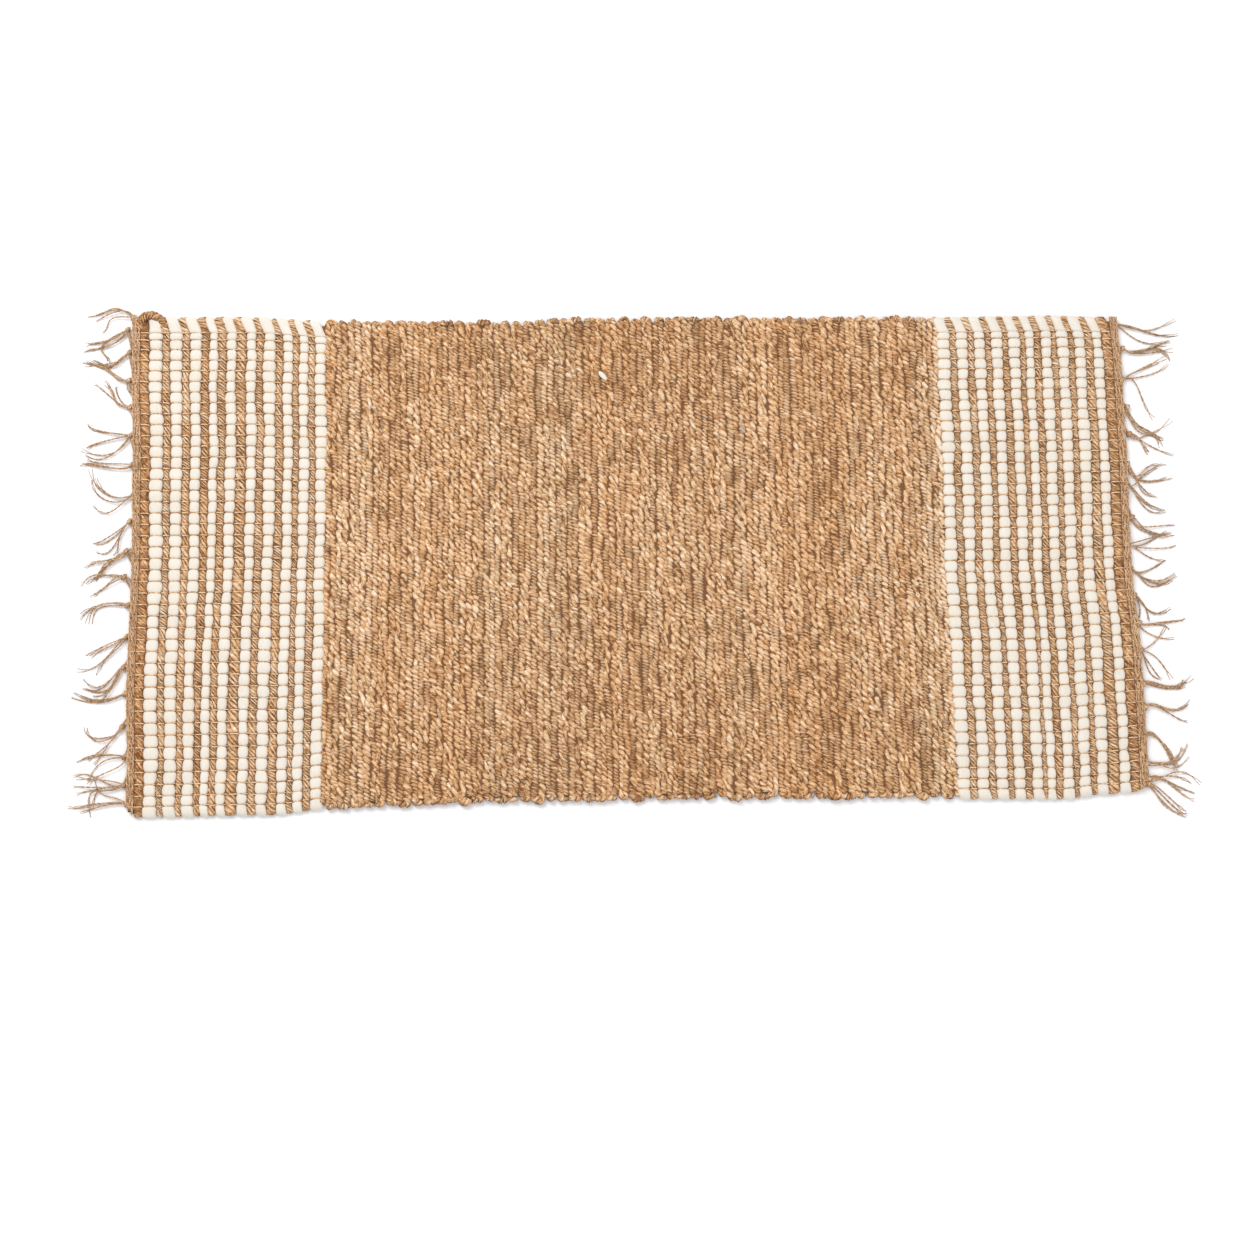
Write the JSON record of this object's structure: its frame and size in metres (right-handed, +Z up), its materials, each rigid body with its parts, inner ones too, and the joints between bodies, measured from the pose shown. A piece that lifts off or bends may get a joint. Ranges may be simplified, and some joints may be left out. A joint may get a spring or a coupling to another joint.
{
  "type": "runner rug",
  "caption": "Flat-woven runner rug: a wide plain jute field, a striped band of soft cotton and jute picks at each end, and knotted warp tassels beyond narrow headings.",
  "frame": {"origin": "on the floor, under the middle of the rug", "axes": "+X along the rug's length, +Y across its width, +Z up through its thickness"},
  "size_m": [1.363, 0.6, 0.0108],
  "materials": {
    "jute_weft": "coarse two-ply jute, matt, golden tan with brown streaks",
    "cotton_weft": "soft untwisted cotton, matt, natural off-white",
    "jute_heading": "fine jute, beaten close, matt, greyish tan",
    "jute_warp": "fine two-ply jute cord, matt, pale straw tan"
  },
  "bodies": {
    "root": {"centre_field_weft": "jute_weft", "left_cotton_pick_01": "cotton_weft", "left_cotton_pick_02": "cotton_weft", "left_cotton_pick_03": "cotton_weft", "left_cotton_pick_04": "cotton_weft", "left_cotton_pick_05": "cotton_weft", "left_cotton_pick_06": "cotton_weft", "left_cotton_pick_07": "cotton_weft", "left_cotton_pick_08": "cotton_weft", "left_cotton_pick_09": "cotton_weft", "left_cotton_pick_10": "cotton_weft", "left_jute_pick_01": "jute_weft", "left_jute_pick_02": "jute_weft", "left_jute_pick_03": "jute_weft", "left_jute_pick_04": "jute_weft", "left_jute_pick_05": "jute_weft", "left_jute_pick_06": "jute_weft", "left_jute_pick_07": "jute_weft", "left_jute_pick_08": "jute_weft", "left_jute_pick_09": "jute_weft", "left_heading_band": "jute_heading", "right_cotton_pick_01": "cotton_weft", "right_cotton_pick_02": "cotton_weft", "right_cotton_pick_03": "cotton_weft", "right_cotton_pick_04": "cotton_weft", "right_cotton_pick_05": "cotton_weft", "right_cotton_pick_06": "cotton_weft", "right_cotton_pick_07": "cotton_weft", "right_cotton_pick_08": "cotton_weft", "right_cotton_pick_09": "cotton_weft", "right_cotton_pick_10": "cotton_weft", "right_jute_pick_01": "jute_weft", "right_jute_pick_02": "jute_weft", "right_jute_pick_03": "jute_weft", "right_jute_pick_04": "jute_weft", "right_jute_pick_05": "jute_weft", "right_jute_pick_06": "jute_weft", "right_jute_pick_07": "jute_weft", "right_jute_pick_08": "jute_weft", "right_jute_pick_09": "jute_weft", "right_heading_band": "jute_heading", "warp_bundle_01": "jute_warp", "warp_bundle_02": "jute_warp", "warp_bundle_03": "jute_warp", "warp_bundle_04": "jute_warp", "warp_bundle_05": "jute_warp", "warp_bundle_06": "jute_warp", "warp_bundle_07": "jute_warp", "warp_bundle_08": "jute_warp", "warp_bundle_09": "jute_warp", "warp_bundle_10": "jute_warp", "warp_bundle_11": "jute_warp", "warp_bundle_12": "jute_warp", "warp_bundle_13": "jute_warp", "warp_bundle_14": "jute_warp", "warp_bundle_15": "jute_warp", "warp_bundle_16": "jute_warp", "warp_bundle_17": "jute_warp", "warp_bundle_18": "jute_warp", "warp_bundle_19": "jute_warp"}
  },
  "joints": []
}
